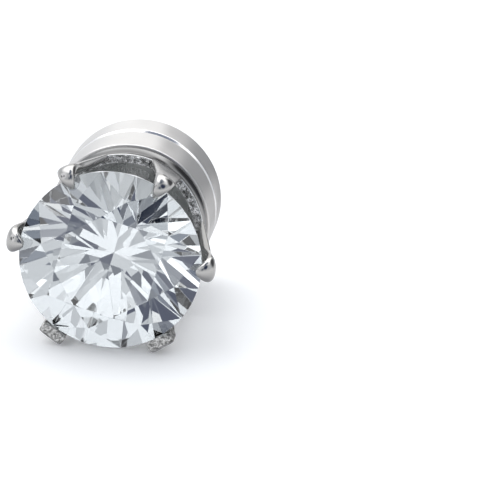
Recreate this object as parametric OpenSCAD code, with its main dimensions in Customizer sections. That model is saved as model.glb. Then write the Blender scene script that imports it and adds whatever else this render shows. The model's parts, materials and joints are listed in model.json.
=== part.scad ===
// Magnetic stud earring: a round brilliant in a six-claw head on a magnet cup, held by a second magnet cup behind.
// Every piece is drawn upright on one axis, back face at height 0 and the stone's table on top.
// The whole earring is then laid down as it rests by itself, on its two lower claws and the back rim.

/* [Stone] */
// Diameter of the stone at its girdle
stone_d = 8; // [7.8:0.05:8.05]
// Width of the table, corner to corner, as a share of the diameter
table_share = 0.57; // [0.53:0.01:0.62]
// Slope of the crown's main facets, in degrees
crown_angle = 31.8; // [31:0.1:36]
// Slope of the pavilion's main facets, in degrees
pavilion_angle = 42.8; // [40:0.1:43.2]
// Height of the girdle's band at the main facets
girdle_t = 0.12; // [0.1:0.01:0.3]
// How far the star facets reach from the table's edge to the girdle, as a share
star_share = 0.48; // [0.4:0.02:0.6]
// How far the lower half facets reach from the girdle to the point, as a share
lower_share = 0.8; // [0.7:0.01:0.84]
// Turn of the table's first corner, seen from the front, in degrees
table_turn = 8.7; // [0:0.1:45]

/* [Claw setting] */
// Angle of each foot claw from straight down, in degrees
foot_angle = 34; // [32:0.1:34.5]
// Distance of an upper claw's bead from the axis
bead_reach = 4.03; // [4.02:0.01:4.06]
// Radius of an upper claw's bead
bead_r = 0.57; // [0.55:0.01:0.6]
// Width of an upper claw's bead along the girdle
bead_w = 1.08; // [0.9:0.02:1.1]
// Distance of a foot claw's blunt end from the axis
foot_reach = 4.5; // [4.48:0.01:4.56]
// Width of a foot claw's blunt end along the girdle
foot_w = 1.16; // [1.08:0.02:1.2]
// Width of a claw where it leaves the gallery
claw_base_w = 1.5; // [1.2:0.05:1.7]
// Width of a claw under its bead
claw_top_w = 1.04; // [0.8:0.02:1.1]
// Thickness of a claw
claw_t = 0.36; // [0.3:0.02:0.4]
// Height of the claws from the gallery to the girdle
claw_h = 4.35; // [4.2:0.05:4.6]
// Diameter of the gallery ring at both edges
gallery_d = 7; // [6.9:0.05:7.1]
// Height of the gallery ring
gallery_h = 1.15; // [0.9:0.05:1.3]
// Thickness of the gallery ring's wall
gallery_wall = 0.42; // [0.38:0.02:0.5]
// Thickness of the gallery ring's floor
gallery_floor = 0.45; // [0.35:0.05:0.6]
// Depth of the hollow waist round the gallery ring
waist_depth = 0.1; // [0.04:0.02:0.14]

/* [Magnet cups] */
// Diameter of both magnet cups
cup_d = 7.2; // [7.1:0.05:7.4]
// Height of the front cup
front_cup_h = 2.2; // [1.9:0.05:2.4]
// Height of the back cup
back_cup_h = 2; // [1.8:0.05:2.2]
// Wall of a cup round its magnet
cup_wall = 0.45; // [0.35:0.05:0.6]
// Floor of a cup behind its magnet
cup_floor = 0.45; // [0.35:0.05:0.6]
// Bevel where the two cups meet
seam_bevel = 0.16; // [0.1:0.02:0.2]
// Bevel at the front cup's front edge
front_bevel = 0.08; // [0.04:0.01:0.1]
// Rounding of the back cup's back edge
back_round = 0.3; // [0.2:0.05:0.4]

/* [Fits] */
// Gap between the claws and the stone
seat_gap = 0.03; // [0.02:0.01:0.05]
// Gap between a magnet and its cup
magnet_gap = 0.03; // [0.02:0.01:0.05]
// Gap between the gallery ring and the front cup
joint_gap = 0.03; // [0.02:0.01:0.05]
// Gap between the two closed cups
seam_gap = 0.05; // [0.03:0.01:0.08]

/* [Hidden] */
$fn = 96;
arc_steps = 8;

// The claws' angles seen from the front, counted from the right: bent by hand, they aren't quite even
upper_angles = [-0.8, 59.5, 118, 172.5];
foot_angles = [270 - foot_angle, 270 + foot_angle];

// Heights on the earring's axis, from its back face
front_cup_z = back_cup_h + seam_gap;
gallery_z = front_cup_z + front_cup_h + joint_gap;
gallery_top_z = gallery_z + gallery_h;
girdle_z = gallery_top_z + claw_h;
bead_z = girdle_z - 0.05;

// A foot claw's blunt end: from its heel to its front, over the stone's edge by its lap
foot_heel_z = bead_z - 0.45;
foot_front_z = bead_z + 0.34;
foot_bevel = 0.12;
foot_lap = 0.15;

// The stone's facet points: radius and height over the girdle's top edge, or under its bottom edge
facet_turn = 45;
half_turn = facet_turn / 2;
half_steps = 4;
girdle_steps = 16 * half_steps;
stone_r = stone_d / 2;
table_r = stone_r * table_share;
table_h = (stone_r - table_r) * tan(crown_angle);
table_flat = table_r * cos(half_turn);
star_r = table_flat + (stone_r - table_flat) * star_share;
star_h = (stone_r - star_r * cos(half_turn)) * tan(crown_angle);
culet_h = stone_r * tan(pavilion_angle);
lower_r = stone_r * (1 - lower_share);
lower_h = (stone_r - lower_r * cos(half_turn)) * tan(pavilion_angle);
girdle_low_z = girdle_z - girdle_t;

// The tilt at which the foot claws' heels and the back cup's rounded rim meet one floor
foot_drop = foot_reach * cos(foot_angle - asin(foot_w / 2 / foot_reach));
rim_drop = cup_d / 2 - back_round;
rest_run = foot_heel_z - back_round;
rest_rise = foot_drop - rim_drop;
rest_tilt = atan(rest_rise / rest_run) - asin(back_round / norm([rest_run, rest_rise]));

// The resting earring's reach to each side, to the front and back, and down
reach_right = bead_reach * cos(upper_angles[0]) + bead_r;
reach_left = -bead_reach * cos(upper_angles[3]) + bead_r;
table_low = min([for (k = [0:7]) table_r * sin(table_turn + k * facet_turn)]);
reach_front = (girdle_z + table_h) * cos(rest_tilt) - table_low * sin(rest_tilt);
reach_back = rim_drop * sin(rest_tilt) + back_round * (1 - cos(rest_tilt));
reach_down = foot_drop * cos(rest_tilt) - foot_heel_z * sin(rest_tilt);

// A point at a radius, angle and height
function on_axis(r, a, z) = [r * cos(a), r * sin(a), z];

// The points of an arc round a centre, from one angle to another
function arc(centre, r, from, to) =
    [for (i = [0:arc_steps]) let (a = from + (to - from) * i / arc_steps) centre + r * [cos(a), sin(a)]];

// How far a half facet dips under its chord, at one step of the girdle
function girdle_dip(step, rise, inner_r) =
    let (off = half_turn * ((step % half_steps) / half_steps - 0.5), chord = stone_r * cos(half_turn / 2))
    (stone_r * cos(off) - chord) * rise / (chord - inner_r * cos(half_turn / 2));

// Lays the upright earring down at its resting tilt, with its bottom centre at the origin
module at_rest() {
    translate([(reach_left - reach_right) / 2, (reach_front - reach_back) / 2, reach_down])
        rotate([90 - rest_tilt, 0, 0])
            children();
}

// Round brilliant: table, 8 stars, 8 mains and 16 halves above, 16 halves and 8 mains below
module stone() {
    corners = [for (k = [0:7]) on_axis(table_r, table_turn + k * facet_turn, girdle_z + table_h)];
    stars = [for (k = [0:7]) on_axis(star_r, table_turn + k * facet_turn + half_turn, girdle_z + star_h)];
    upper = [for (j = [0:girdle_steps - 1])
        on_axis(stone_r, table_turn + j * 360 / girdle_steps, girdle_z - girdle_dip(j, star_h, star_r))];
    lower = [for (j = [0:girdle_steps - 1])
        on_axis(stone_r, table_turn + j * 360 / girdle_steps, girdle_low_z + girdle_dip(j, lower_h, lower_r))];
    halves = [for (k = [0:7]) on_axis(lower_r, table_turn + k * facet_turn + half_turn, girdle_low_z - lower_h)];
    culet = [[0, 0, girdle_low_z - culet_h]];
    star_at = 8;
    upper_at = 16;
    lower_at = upper_at + girdle_steps;
    half_at = lower_at + girdle_steps;
    culet_at = half_at + 8;
    per_facet = 2 * half_steps;
    faces = concat(
        [[for (k = [0:7]) 7 - k]],
        [for (k = [0:7]) [k, (k + 1) % 8, star_at + k]],
        [for (k = [0:7]) [k, star_at + k, upper_at + per_facet * k, star_at + (k + 7) % 8]],
        [for (k = [0:7], side = [0, 1]) concat([star_at + k],
            [for (i = [0:half_steps]) upper_at + (per_facet * k + half_steps * (side + 1) - i) % girdle_steps])],
        [for (j = [0:girdle_steps - 1])
            [upper_at + j, upper_at + (j + 1) % girdle_steps, lower_at + (j + 1) % girdle_steps, lower_at + j]],
        [for (k = [0:7], side = [0, 1]) concat([half_at + k],
            [for (i = [0:half_steps]) lower_at + (per_facet * k + half_steps * side + i) % girdle_steps])],
        [for (k = [0:7]) [culet_at, half_at + (k + 7) % 8, lower_at + per_facet * k, half_at + k]]
    );
    color("aliceblue") polyhedron(concat(corners, stars, upper, lower, halves, culet), faces);
}

// The space the stone needs, turned round its axis and grown by the seat's gap
module stone_space() {
    translate([0, 0, girdle_z])
        rotate_extrude()
            polygon([
                [0, -girdle_t - culet_h - 2 * seat_gap],
                [lower_r + seat_gap, -girdle_t - lower_h - seat_gap],
                [stone_r + seat_gap, -girdle_t - seat_gap / 2],
                [stone_r + seat_gap, seat_gap / 2],
                [star_r + seat_gap, star_h + seat_gap],
                [table_r + seat_gap, table_h + seat_gap],
                [0, table_h + seat_gap]
            ]);
}

// Gallery ring: a short cup with a hollow waist, open to the front
module gallery_ring() {
    outer_r = gallery_d / 2;
    edge = waist_depth * 0.8;
    waist_half = gallery_h / 2 - edge;
    waist_arc_r = (waist_half * waist_half + waist_depth * waist_depth) / (2 * waist_depth);
    waist_swing = asin(waist_half / waist_arc_r);
    waist_centre = [outer_r - waist_depth + waist_arc_r, gallery_z + gallery_h / 2];
    rotate_extrude()
        polygon(concat(
            [[0, gallery_z], [outer_r - edge, gallery_z]],
            arc(waist_centre, waist_arc_r, 180 + waist_swing, 180 - waist_swing),
            [
                [outer_r - edge, gallery_top_z],
                [outer_r - gallery_wall, gallery_top_z],
                [outer_r - gallery_wall, gallery_z + gallery_floor],
                [0, gallery_z + gallery_floor]
            ]
        ));
}

// A claw's leg, standing at the angle 0: a tapered petal of a cone, from the gallery to the girdle
module claw_leg() {
    root_z = gallery_top_z - gallery_wall / 2;
    root_r = gallery_d / 2 - seat_gap / 2;
    top_z = bead_z - bead_r / 3;
    top_r = stone_r + seat_gap + claw_t;
    intersection() {
        rotate_extrude()
            polygon([[root_r - claw_t, root_z], [root_r, root_z], [top_r, top_z], [top_r - claw_t, top_z]]);
        rotate([90, 0, 90])
            linear_extrude(2 * stone_r)
                polygon([
                    [-claw_base_w / 2, root_z],
                    [claw_base_w / 2, root_z],
                    [claw_base_w / 2, gallery_top_z],
                    [claw_top_w / 2, top_z],
                    [-claw_top_w / 2, top_z],
                    [-claw_base_w / 2, gallery_top_z]
                ]);
    }
}

// An upper claw's end: a bead, flat at its sides
module bead() {
    translate([bead_reach, 0, bead_z])
        intersection() {
            sphere(bead_r);
            cube([3 * bead_r, bead_w, 3 * bead_r], center = true);
        }
}

// A foot claw's end: a blunt bar along the girdle, cut square by the cutter
module blunt_end() {
    inner_r = stone_r - foot_lap;
    intersection() {
        rotate_extrude()
            polygon([
                [inner_r, foot_heel_z],
                [foot_reach, foot_heel_z],
                [foot_reach, foot_front_z - foot_bevel],
                [foot_reach - foot_bevel, foot_front_z],
                [inner_r, foot_front_z]
            ]);
        translate([0, -foot_w / 2, foot_heel_z - 1]) cube([2 * stone_r, foot_w, 3]);
    }
}

// Claw setting: gallery ring and six claws in one casting, cut back to the stone's seat
module claw_setting() {
    color("gainsboro") difference() {
        union() {
            gallery_ring();
            for (a = concat(upper_angles, foot_angles)) rotate([0, 0, a]) claw_leg();
            for (a = upper_angles) rotate([0, 0, a]) bead();
            for (a = foot_angles) rotate([0, 0, a]) blunt_end();
        }
        stone_space();
    }
}

// A cup on its closed end, from height 0, with its mouth's outer edge bevelled and its closed edge as given
module cup(height, closed_edge) {
    outer_r = cup_d / 2;
    rotate_extrude()
        polygon(concat(
            [[0, 0]],
            closed_edge,
            [
                [outer_r, height - seam_bevel],
                [outer_r - seam_bevel, height],
                [outer_r - cup_wall, height],
                [outer_r - cup_wall, cup_floor],
                [0, cup_floor]
            ]
        ));
}

// A magnet disc in a cup of that height, a little under the cup's rim
module magnet(height) {
    magnet_r = cup_d / 2 - cup_wall - magnet_gap;
    translate([0, 0, cup_floor + magnet_gap])
        cylinder(h = height - cup_floor - 2 * magnet_gap, r = magnet_r);
}

// Turns a cup or magnet round, so that its mouth faces back instead of forward
module facing_back() {
    translate([0, 0, front_cup_z + front_cup_h]) mirror([0, 0, 1]) children();
}

// Front cup: its closed end carries the setting and its mouth faces back
module front_cup() {
    outer_r = cup_d / 2;
    color("silver") facing_back()
        cup(front_cup_h, [[outer_r - front_bevel, 0], [outer_r, front_bevel]]);
}

// Front magnet: a plain disc in the front cup
module front_magnet() {
    color("darkgray") facing_back() magnet(front_cup_h);
}

// Back cup: its rounded closed end is the earring's back and its mouth faces forward
module back_cup() {
    color("silver")
        cup(back_cup_h, arc([cup_d / 2 - back_round, back_round], back_round, -90, 0));
}

// Back magnet: a plain disc in the back cup
module back_magnet() {
    color("darkgray") magnet(back_cup_h);
}

at_rest() stone();
at_rest() claw_setting();
at_rest() front_cup();
at_rest() front_magnet();
at_rest() back_cup();
at_rest() back_magnet();
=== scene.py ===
# %% [markdown]
# A magnetic stud earring, dressed for its picture. A clear stone stands in a claw setting on a small
# steel cup with a magnet in it, and a second cup snaps on from behind the ear lobe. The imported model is
# the fixed frame: it holds the sizes and the places. This script replaces its plain solids by finer
# surfaces of the same form, gives each one a finish, and sets up a floor, light and a camera.

# %% Load the frame
import json

import bmesh
import bpy
import numpy as np
from mathutils import Matrix


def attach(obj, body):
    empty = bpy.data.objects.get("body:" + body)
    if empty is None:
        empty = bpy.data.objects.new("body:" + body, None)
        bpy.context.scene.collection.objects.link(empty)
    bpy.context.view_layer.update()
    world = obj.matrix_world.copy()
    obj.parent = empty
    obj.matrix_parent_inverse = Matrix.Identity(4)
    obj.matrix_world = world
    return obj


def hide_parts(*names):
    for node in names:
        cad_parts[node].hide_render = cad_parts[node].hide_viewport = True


MM = 0.001
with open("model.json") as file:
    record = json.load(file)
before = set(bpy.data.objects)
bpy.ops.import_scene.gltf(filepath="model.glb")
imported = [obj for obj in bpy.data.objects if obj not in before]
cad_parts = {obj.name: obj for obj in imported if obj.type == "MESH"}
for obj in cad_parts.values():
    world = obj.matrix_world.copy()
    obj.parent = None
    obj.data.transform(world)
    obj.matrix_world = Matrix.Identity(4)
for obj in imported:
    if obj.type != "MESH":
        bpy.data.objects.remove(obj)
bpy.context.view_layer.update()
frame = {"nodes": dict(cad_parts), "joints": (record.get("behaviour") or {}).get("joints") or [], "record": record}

# %% [markdown]
# The earring lies at a small tilt on its two lower claws and its back rim. Round pieces are simplest
# upright, on one axis, so every surface below is worked out in an upright frame in millimetres: height 0
# is the back face and the stone points up. The back face's mount in the record says where that frame
# lies, so one small function carries finished points to their resting place.

# %% The upright frame
mount = next(m for m in frame["record"]["mounts"] if m["name"] == "back_face")
AXIS_Z = -np.array(mount["axis"])
AXIS_X = np.array([1.0, 0.0, 0.0])
AXIS_Y = np.cross(AXIS_Z, AXIS_X)
UPRIGHT = np.stack([AXIS_X, AXIS_Y, AXIS_Z])
BACK_CENTRE = np.array(mount["pos_m"]) / MM
TILT = float(np.arctan2(AXIS_Z[2], -AXIS_Z[1]))


def at_rest(points):
    """Points of the upright frame, in mm, carried to the resting earring, in metres."""
    return (points @ UPRIGHT + BACK_CENTRE) * MM


print("axis", round(np.degrees(TILT), 2), "degrees off level, back face at", BACK_CENTRE.round(3), "mm")

# %% [markdown]
# The same frame, used the other way round, measures the CAD solids: how high each one starts and ends on
# the axis, and how far its points reach from it.


# %% Measuring a solid
def upright(node):
    """A CAD node's points in the upright frame, in mm."""
    mesh = frame["nodes"][node].data
    flat = np.zeros(len(mesh.vertices) * 3)
    mesh.vertices.foreach_get("co", flat)
    return (flat.reshape(-1, 3) / MM - BACK_CENTRE) @ UPRIGHT.T


def low(node):
    """The node's lowest height on the axis."""
    return round(upright(node)[:, 2].min(), 3)


def high(node):
    """The node's highest height on the axis."""
    return round(upright(node)[:, 2].max(), 3)


def reach(points):
    """The distance of points from the axis."""
    return np.hypot(points[:, 0], points[:, 1])


for node in frame["nodes"]:
    print(node, "stands from", low(node), "to", high(node), "mm")

# %% [markdown]
# Sizes that pieces share are read off the frame, so that nothing is fitted by eye: the cups and magnets
# from their own solids, and the girdle, the stone's edge, from the stone's widest points.

# %% Sizes from the frame
EDGE_BAND = 0.01
CUP_R = round(reach(upright("front_cup")).max(), 3)
MAGNET_R = round(reach(upright("front_magnet")).max(), 3)
stone_points = upright("stone")
STONE_R = round(reach(stone_points).max(), 3)
edge_heights = stone_points[reach(stone_points) > STONE_R - EDGE_BAND][:, 2]
GIRDLE_TOP = round(edge_heights.max(), 3)
GIRDLE_LOW = round(edge_heights.min(), 3)
print("radius of cups", CUP_R, "magnets", MAGNET_R, "stone", STONE_R)
print("girdle from", GIRDLE_LOW, "to", GIRDLE_TOP)

# %% [markdown]
# The claws were bent by hand, so they aren't spaced quite evenly. Only their ends reach further out than
# a certain radius. The directions of those points fall into six bunches, and the middle of a bunch is
# where its claw stands. A claw just short of the full turn counts from below zero, so that no bunch is
# split in two.

# %% Where the claws stand
CLAW_ENDS_PAST = 4.49
WRAP_FROM = 340
BETWEEN_CLAWS = 25
setting_points = upright("claw_setting")
outermost = setting_points[reach(setting_points) > CLAW_ENDS_PAST]
directions = np.degrees(np.arctan2(outermost[:, 1], outermost[:, 0])) % 360
directions = np.sort(np.where(directions > WRAP_FROM, directions - 360, directions))
bunches = np.split(directions, np.where(np.diff(directions) > BETWEEN_CLAWS)[0] + 1)
CLAW_ANGLES = [round((bunch.min() + bunch.max()) / 2, 1) for bunch in bunches]
print("claws at", CLAW_ANGLES, "degrees")

# %% [markdown]
# Two helpers put arrays into Blender. `raw_piece` makes an object from points and facets. `grid_facets`
# names the corners of the quads of a surface that was sampled on a grid, such as a half section spun
# round the axis. Whole arrays go in at once, with no loop over vertices.


# %% Arrays into meshes
def raw_piece(name, points, facets, smooth=True):
    """A mesh object from upright points in mm and a list of facets, each a list of point numbers."""
    corners = at_rest(np.asarray(points, float)).tolist()
    mesh = bpy.data.meshes.new(name)
    mesh.from_pydata(corners, [], [list(map(int, facet)) for facet in facets])
    mesh.polygons.foreach_set("use_smooth", np.full(len(mesh.polygons), smooth))
    mesh.update()
    piece = bpy.data.objects.new(name, mesh)
    bpy.context.scene.collection.objects.link(piece)
    return piece


def grid_facets(rows, columns):
    """Quads between the points of a grid stored row by row. The last column joins the first."""
    i, j = np.meshgrid(np.arange(rows - 1), np.arange(columns), indexing="ij")
    here, above, beside = i * columns, (i + 1) * columns, (j + 1) % columns
    return np.stack([here + j, here + beside, above + beside, above + j], -1).reshape(-1, 4)


print("a grid of 3 rows and 4 columns has", len(grid_facets(3, 4)), "facets")

# %% [markdown]
# A turned piece, such as a cup or a ring, is its half section spun about the axis. On the real piece no
# edge is quite sharp, and that narrow round is what catches the light as a thin bright line. A Bevel
# modifier could round every edge alike. Here each corner of a section has a radius of its own, so
# `rounded` swaps it for an arc: the corner is cut where a circle would touch its two sides, and a
# parabola bends from cut to cut with the corner as its handle.

# %% Rounded sections
MOST_OF_SIDE = 0.49


def rounded(corners, steps=6):
    """A section's points from (radius, height, rounding) corners. A rounding of 0 stays sharp.

    An arc's point at t, from 0 to 1, is (1 - t)^2 start + 2 t (1 - t) corner + t^2 end."""
    out = []
    for k, (r, z, rounding) in enumerate(corners):
        here = np.array([r, z])
        if rounding == 0 or k in (0, len(corners) - 1):
            out.append(here[None])
            continue
        before = np.array(corners[k - 1][:2]) - here
        after = np.array(corners[k + 1][:2]) - here
        before_length, after_length = np.linalg.norm(before), np.linalg.norm(after)
        u, v = before / before_length, after / after_length
        half = np.arccos(np.clip(u @ v, -1, 1)) / 2
        cut = min(rounding / np.tan(half), MOST_OF_SIDE * before_length, MOST_OF_SIDE * after_length)
        t = np.linspace(0, 1, steps + 1)[:, None]
        start, end = here + u * cut, here + v * cut
        out.append((1 - t) ** 2 * start + 2 * t * (1 - t) * here + t**2 * end)
    return np.concatenate(out)


square_end = rounded([(0, 0, 0), (1, 0, 0.2), (1, 1, 0), (0, 1, 0)])
print("a square corner with a round of 0.2 mm becomes", len(square_end) - 3, "points")

# %% [markdown]
# Spinning goes the same way as on the lathe. A Screw modifier could do it, but with arrays the rows stay
# in a known order, so that a finish can be given to each row of facets by its place. The two ends of a
# section lie on the axis and become single points, which closes the piece at both poles.


# %% Turning a section
def turned(section, turns=256):
    """Points and facets of a section from the axis to the axis, spun round it.

    A section's point (r, z) goes to (r cos a, r sin a, z) at each angle a."""
    ring = section[1:-1]
    angle = np.arange(turns) * 2 * np.pi / turns
    x = ring[:, :1] * np.cos(angle)
    y = ring[:, :1] * np.sin(angle)
    z = np.repeat(ring[:, 1:], turns, axis=1)
    points = np.stack([x, y, z], -1).reshape(-1, 3)
    poles = np.array([[0, 0, section[0, 1]], [0, 0, section[-1, 1]]])
    first, last = len(points), len(points) + 1
    j = np.arange(turns)
    j2 = (j + 1) % turns
    top = (len(ring) - 1) * turns
    first_cap = np.stack([np.full(turns, first), j2, j], 1)
    last_cap = np.stack([np.full(turns, last), top + j, top + j2], 1)
    facets = grid_facets(len(ring), turns).tolist() + first_cap.tolist() + last_cap.tolist()
    return np.concatenate([points, poles]), facets


print("that corner's disc, spun in 12 steps, has", len(turned(square_end, 12)[1]), "facets")

# %% [markdown]
# Satin metal shines in a streak across its scratches, and on turned work those run round the axis. The
# shader has to know that direction at every point, so a turned piece gets a UV map named turning: one
# coordinate runs along the section in mm, the other round the axis in whole turns. A corner on the axis
# has no angle of its own and takes that of its facet's first other corner. The other corners are kept
# within half a turn of it, so that no facet is stretched across the seam.

# %% Turned pieces
# Points closer than this, in mm, count as being in the same place.
HAIR = 0.001


def turned_piece(name, section, turns=256, turned_over=None):
    """A turned object with its turning map.

    With turned_over, a height, the piece is flipped so that its foot is there and it faces back."""
    points, facets = turned(section, turns)
    run = np.concatenate([[0], np.cumsum(np.linalg.norm(np.diff(section, axis=0), axis=1))])
    along = np.concatenate([np.repeat(run[1:-1], turns), run[[0, -1]]])
    if turned_over is not None:
        points = points * [1, 1, -1] + [0, 0, turned_over]
        facets = [facet[::-1] for facet in facets]
    piece = raw_piece(name, points, facets)
    corner = np.concatenate(facets)
    owner = np.repeat(np.arange(len(facets)), [len(facet) for facet in facets])
    angle = np.arctan2(points[corner, 1], points[corner, 0]) / (2 * np.pi)
    on_axis = reach(points[corner]) < HAIR
    first = angle[~on_axis][np.searchsorted(owner[~on_axis], owner)]
    angle = np.where(on_axis, first, first + (angle - first + 0.5) % 1 - 0.5)
    turning = piece.data.uv_layers.new(name="turning")
    turning.data.foreach_set("uv", np.stack([along[corner], angle], 1).ravel())
    print(name, "facets:", len(facets))
    return piece


# %% [markdown]
# Finishes are node trees, and effects that several finishes share are shader groups with named inputs and
# outputs. `node_group` makes an empty group and `add` a node with its values. `math` and `spread` are a
# Math and a Map Range node, each with its links made, so that a recipe below reads like a formula.


# %% Helpers for node trees
def node_group(name, inputs, outputs):
    """A new shader group: inputs and outputs are {name: (socket type, default)}."""
    group = bpy.data.node_groups.new(name, "ShaderNodeTree")
    for side, sockets in (("INPUT", inputs), ("OUTPUT", outputs)):
        for label, (kind, default) in sockets.items():
            socket = group.interface.new_socket(name=label, in_out=side, socket_type=kind)
            if default is not None:
                socket.default_value = default
    return group, group.nodes.new("NodeGroupInput"), group.nodes.new("NodeGroupOutput")


def add(tree, kind, settings=None, **values):
    """A node of a kind, with its properties from settings and its sockets' values by name."""
    node = tree.nodes.new(kind)
    for key, value in (settings or {}).items():
        setattr(node, key, value)
    for key, value in values.items():
        node.inputs[key.replace("_", " ")].default_value = value
    return node


def math(tree, operation, a, b=None, clamp=False):
    """A Math node on numbers or sockets, and its result."""
    node = tree.nodes.new("ShaderNodeMath")
    node.operation = operation
    node.use_clamp = clamp
    for k, value in enumerate((a, b)):
        if value is None:
            continue
        if isinstance(value, (int, float)):
            node.inputs[k].default_value = value
        else:
            tree.links.new(value, node.inputs[k])
    return node.outputs[0]


def spread(tree, value, low_in, high_in, low_out, high_out):
    """A Map Range node that carries one range onto another, and its result."""
    ends = {"From_Min": low_in, "From_Max": high_in, "To_Min": low_out, "To_Max": high_out}
    node = add(tree, "ShaderNodeMapRange", **ends)
    tree.links.new(value, node.inputs["Value"])
    return node.outputs["Result"]


# %% [markdown]
# Patterns read the object's own coordinates, which stay with a piece when it moves. Those lie at the
# resting tilt and in metres. One Mapping node turns them upright and makes them millimetres, so that a
# scale of 9 in a recipe means nine to the millimetre.


# %% Coordinates and materials
def upright_mm(tree):
    """The object's coordinates, turned upright and in mm."""
    coords = tree.nodes.new("ShaderNodeTexCoord")
    raise_up = add(tree, "ShaderNodeMapping", {"vector_type": "POINT"})
    raise_up.inputs["Rotation"].default_value = (-(np.pi / 2 - TILT), 0, 0)
    raise_up.inputs["Scale"].default_value = (1 / MM, 1 / MM, 1 / MM)
    tree.links.new(coords.outputs["Object"], raise_up.inputs["Vector"])
    return raise_up.outputs["Vector"]


def new_material(name):
    """A material with one Principled shader, its tree and that shader."""
    material = bpy.data.materials.new(name)
    material.use_nodes = True
    tree = material.node_tree
    tree.nodes.clear()
    shader = tree.nodes.new("ShaderNodeBsdfPrincipled")
    output = tree.nodes.new("ShaderNodeOutputMaterial")
    tree.links.new(shader.outputs["BSDF"], output.inputs["Surface"])
    return material, tree, shader


# %% [markdown]
# Cups and magnets are turned on a lathe and then satin finished. The tool leaves fine rings that follow
# the turning: round the side, and in circles on a face. They are about a thousandth of a millimetre deep,
# far too fine for points, so they are a bump. A Wave texture would repeat too evenly. Noise that changes
# fast with radius and height, but slowly round the axis, gives both kinds of ring at once.

# %% Group: turned rings
SLOW_ROUND = 0.35
rings, rings_in, rings_out = node_group(
    "turned_rings",
    {"Vector": ("NodeSocketVector", None), "Per mm": ("NodeSocketFloat", 24.0)},
    {"Rings": ("NodeSocketFloat", None)},
)
parted = rings.nodes.new("ShaderNodeSeparateXYZ")
rings.links.new(rings_in.outputs["Vector"], parted.inputs[0])
x_mm, y_mm, z_mm = parted.outputs
x_squared = math(rings, "MULTIPLY", x_mm, x_mm)
y_squared = math(rings, "MULTIPLY", y_mm, y_mm)
radius = math(rings, "SQRT", math(rings, "ADD", x_squared, y_squared))
fast_r = math(rings, "MULTIPLY", radius, rings_in.outputs["Per mm"])
fast_z = math(rings, "MULTIPLY", z_mm, rings_in.outputs["Per mm"])
packed = rings.nodes.new("ShaderNodeCombineXYZ")
slow_x = math(rings, "MULTIPLY", x_mm, SLOW_ROUND)
rings.links.new(math(rings, "ADD", fast_r, slow_x), packed.inputs[0])
rings.links.new(fast_z, packed.inputs[1])
rings.links.new(math(rings, "MULTIPLY", y_mm, SLOW_ROUND), packed.inputs[2])
ring_noise = add(rings, "ShaderNodeTexNoise", Scale=1.0, Detail=3.0, Roughness=0.6)
rings.links.new(packed.outputs[0], ring_noise.inputs["Vector"])
rings.links.new(ring_noise.outputs[0], rings_out.inputs["Rings"])
print("group", rings.name, "has", len(rings.nodes), "nodes")

# %% [markdown]
# Handling leaves hairline scratches and faint smears on all the metal. They change a place's shine more
# than its shape, so they go to the roughness. Stretched noise, cut to its thinnest crests, stands for the
# scratches, and a slow noise for the smears.

# %% Group: handling marks
SLANT = (0.4, 0.7, 0.5)
STRETCH = (9.0, 0.6, 0.6)
CREST_FROM, CREST_TO = 0.62, 0.72
SMEAR_FROM, SMEAR_TO = 0.3, 0.7
marks, marks_in, marks_out = node_group(
    "handling_marks",
    {"Vector": ("NodeSocketVector", None), "Per mm": ("NodeSocketFloat", 3.0)},
    {"Scratches": ("NodeSocketFloat", None), "Smears": ("NodeSocketFloat", None)},
)
slant = add(marks, "ShaderNodeMapping", {"vector_type": "POINT"})
slant.inputs["Rotation"].default_value = SLANT
slant.inputs["Scale"].default_value = STRETCH
marks.links.new(marks_in.outputs["Vector"], slant.inputs["Vector"])
hair = add(marks, "ShaderNodeTexNoise", Detail=2.0, Roughness=0.5)
marks.links.new(slant.outputs[0], hair.inputs["Vector"])
marks.links.new(marks_in.outputs["Per mm"], hair.inputs["Scale"])
scratches = spread(marks, hair.outputs[0], CREST_FROM, CREST_TO, 0.0, 1.0)
marks.links.new(scratches, marks_out.inputs["Scratches"])
smear = add(marks, "ShaderNodeTexNoise", Scale=0.7, Detail=2.0, Roughness=0.5)
marks.links.new(marks_in.outputs["Vector"], smear.inputs["Vector"])
smears = spread(marks, smear.outputs[0], SMEAR_FROM, SMEAR_TO, 0.0, 1.0)
marks.links.new(smears, marks_out.inputs["Smears"])
print("group", marks.name, "has", len(marks.nodes), "nodes")

# %% [markdown]
# Eight finishes share one recipe for metal and differ in their numbers: base colour, roughness, how deep
# the turned rings lie, and how strong the marks are. What is the same all over sits on the shader itself,
# and only what varies over the surface is wired. Two additions are for some of them. Cast metal has
# grain: one noise both dents the surface and, in the colour, paints shade into its pits and a highlight
# onto its crests. Satin metal is brushed, so its shader is anisotropic and takes its direction from the
# turning map.

# %% Recipe for metal
GRAIN_PER_MM = 7.0
PIT_BELOW, CREST_ABOVE = 0.4, 0.6
# Painted shade and highlight: in the grain's colour the pits are darkened and the crests lightened.
PIT_PAINTED_SHADE, CREST_PAINTED_HIGHLIGHT = 0.3, 1.5
# A Mix node that is set to colour has its colour sockets at these places.
MIX_SHARE, MIX_FIRST, MIX_SECOND, MIX_RESULT = 0, 6, 7, 2


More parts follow.
